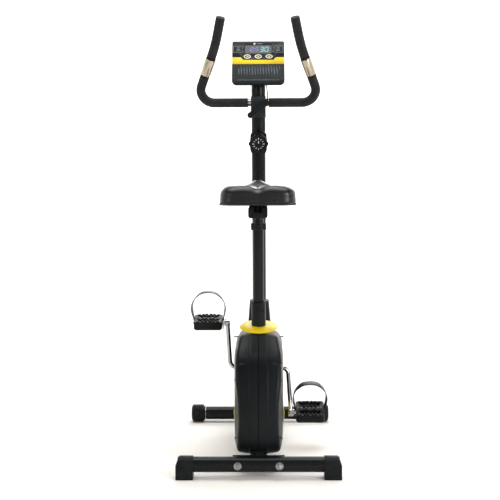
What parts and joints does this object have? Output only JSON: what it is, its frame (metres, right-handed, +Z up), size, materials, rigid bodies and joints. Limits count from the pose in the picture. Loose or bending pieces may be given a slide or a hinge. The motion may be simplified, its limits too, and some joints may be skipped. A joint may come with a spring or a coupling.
{
  "type": "exercise bike",
  "caption": "Upright magnetic exercise bike with pedals and toe straps, adjustable saddle, raised handlebar with pulse sensors, console and tension dial.",
  "frame": {"origin": "on the floor, at the middle of the footprint, midway between the two stabilisers", "axes": "+Z up, +Y the way the rider faces, +X to the rider's right"},
  "size_m": [0.508, 0.8424, 1.442],
  "materials": {
    "black_paint": "semi-gloss powder coat with fine orange peel",
    "clamp_paint": "semi-gloss powder coat",
    "chrome": "bright chrome plate",
    "cover_black": "satin moulded plastic with a fine grain",
    "yellow_plastic": "glossy moulded plastic",
    "foam": "closed-cell foam",
    "saddle_vinyl": "smooth black vinyl with a fine grain",
    "black_plastic": "satin moulded plastic",
    "strap_rubber": "satin flexible plastic",
    "belt_rubber": "matt ribbed rubber",
    "steel": "zinc plated",
    "sensor_metal": "brushed plate",
    "cast_iron": "machined rim, cast web",
    "pulley_plastic": "moulded nylon",
    "console_black": "satin gloss moulded plastic",
    "console_lens": "clear window over a dark display",
    "button_plastic": "pale moulded plastic"
  },
  "bodies": {
    "frame": {"spine_tube": "black_paint", "seat_tube": "black_paint", "front_strut": "black_paint", "crank_beams": "black_paint", "rear_stabiliser": "black_paint", "front_stabiliser": "black_paint", "rear_cap_left": "black_plastic", "rear_cap_right": "black_plastic", "stabiliser_fasteners": "steel", "roller_pins": "steel", "cover_left": "cover_black", "cover_right": "cover_black", "cover_ring": "yellow_plastic", "mast_shroud": "cover_black", "side_trims": "yellow_plastic", "cover_screws": "steel", "seat_bushing": "black_plastic", "bearings": "steel", "mast": "black_paint", "mast_bolts": "steel", "dial_base": "black_plastic", "brake_cable": "strap_rubber", "handlebar_clamp": "clamp_paint", "clamp_cap": "clamp_paint", "console_back": "console_black", "console_face": "console_black", "console_lens": "console_lens", "console_trim": "yellow_plastic", "pulse_cable": "strap_rubber", "drive_belt": "belt_rubber"},
    "crank": {"crank": "chrome", "crank_pulley": "pulley_plastic", "pedal_spindles": "chrome"},
    "left_pedal": {"pedal_left": "black_plastic", "strap_left": "strap_rubber"},
    "right_pedal": {"pedal_right": "black_plastic", "strap_right": "strap_rubber"},
    "flywheel": {"flywheel": "cast_iron", "flywheel_shaft": "steel"},
    "brake": {"brake_arm": "black_paint", "brake_magnets": "steel"},
    "seat_post": {"seat_post": "black_paint", "saddle_channel": "black_paint"},
    "saddle": {"saddle_slider": "black_paint", "saddle_base": "black_plastic", "saddle_cushion": "saddle_vinyl"},
    "saddle_knob": {"saddle_knob": "black_plastic"},
    "height_pin": {"height_pin": "black_plastic"},
    "tension_knob": {"tension_knob": "black_plastic"},
    "handlebar": {"handlebar": "chrome", "foam_grips": "foam", "pulse_sensors": "black_plastic", "pulse_plates": "sensor_metal", "cable_grommet": "strap_rubber"},
    "t_handle": {"t_handle": "black_plastic"},
    "button_left": {"button_left": "button_plastic"},
    "button_middle": {"button_middle": "button_plastic"},
    "button_right": {"button_right": "button_plastic"},
    "roller_left": {"roller_left": "black_plastic"},
    "roller_right": {"roller_right": "black_plastic"}
  },
  "joints": [
    {"name": "flywheel_spin", "type": "hinge", "parent": "frame", "child": "flywheel", "pos_m": [0, 0.195, 0.195], "axis": [-1, 0, 0], "continuous": true},
    {"name": "crank_spin", "type": "hinge", "parent": "frame", "child": "crank", "pos_m": [0, 0, 0.273], "axis": [-1, 0, 0], "continuous": true},
    {"name": "left_pedal_spin", "type": "hinge", "parent": "crank", "child": "left_pedal", "pos_m": [-0.171, 0.0106, 0.42463], "axis": [-1, 0, 0], "continuous": true},
    {"name": "right_pedal_spin", "type": "hinge", "parent": "crank", "child": "right_pedal", "pos_m": [0.171, -0.0106, 0.12137], "axis": [-1, 0, 0], "continuous": true},
    {"name": "roller_left_spin", "type": "hinge", "parent": "frame", "child": "roller_left", "pos_m": [-0.229, 0.38, 0.032], "axis": [-1, 0, 0], "continuous": true},
    {"name": "roller_right_spin", "type": "hinge", "parent": "frame", "child": "roller_right", "pos_m": [0.229, 0.38, 0.032], "axis": [-1, 0, 0], "continuous": true},
    {"name": "seat_height", "type": "slide", "parent": "frame", "child": "seat_post", "axis": [0, -0.1994, 0.9799], "range_m": [-0.1, 0.1]},
    {"name": "saddle_slide", "type": "slide", "parent": "seat_post", "child": "saddle", "axis": [0, 1, 0], "range_m": [-0.04, 0.04]},
    {"name": "saddle_knob_turn", "type": "hinge", "parent": "seat_post", "child": "saddle_knob", "pos_m": [0, -0.276, 0.767], "axis": [0, 0, -1], "range_deg": [0, 360]},
    {"name": "height_pin_pull", "type": "slide", "parent": "frame", "child": "height_pin", "axis": [0, 0.9799, 0.1994], "range_m": [0, 0.012], "stiffness_N_per_m": 800},
    {"name": "tension_turn", "type": "hinge", "parent": "frame", "child": "tension_knob", "pos_m": [0, 0.12925, 1.034], "axis": [0, -0.9914, -0.1305], "range_deg": [0, 280]},
    {"name": "brake_swing", "type": "hinge", "parent": "frame", "child": "brake", "pos_m": [-0.0465, 0.115, 0.275], "axis": [1, 0, 0], "range_deg": [0, 6]},
    {"name": "handlebar_tilt", "type": "hinge", "parent": "frame", "child": "handlebar", "pos_m": [0, 0.064, 1.165], "axis": [1, 0, 0], "range_deg": [-15, 15]},
    {"name": "t_handle_turn", "type": "hinge", "parent": "frame", "child": "t_handle", "pos_m": [0, 0.045, 1.142], "axis": [0, -1, 0], "range_deg": [0, 270]},
    {"name": "button_left_press", "type": "slide", "parent": "frame", "child": "button_left", "axis": [0, 0.848, -0.5299], "range_m": [0, 0.001], "stiffness_N_per_m": 800},
    {"name": "button_middle_press", "type": "slide", "parent": "frame", "child": "button_middle", "axis": [0, 0.848, -0.5299], "range_m": [0, 0.001], "stiffness_N_per_m": 800},
    {"name": "button_right_press", "type": "slide", "parent": "frame", "child": "button_right", "axis": [0, 0.848, -0.5299], "range_m": [0, 0.001], "stiffness_N_per_m": 800}
  ],
  "couplings": [
    {"joint": "crank_spin", "follows": "flywheel_spin", "ratio": 0.15641},
    {"joint": "brake_swing", "follows": "tension_turn", "ratio": 0.021429}
  ]
}
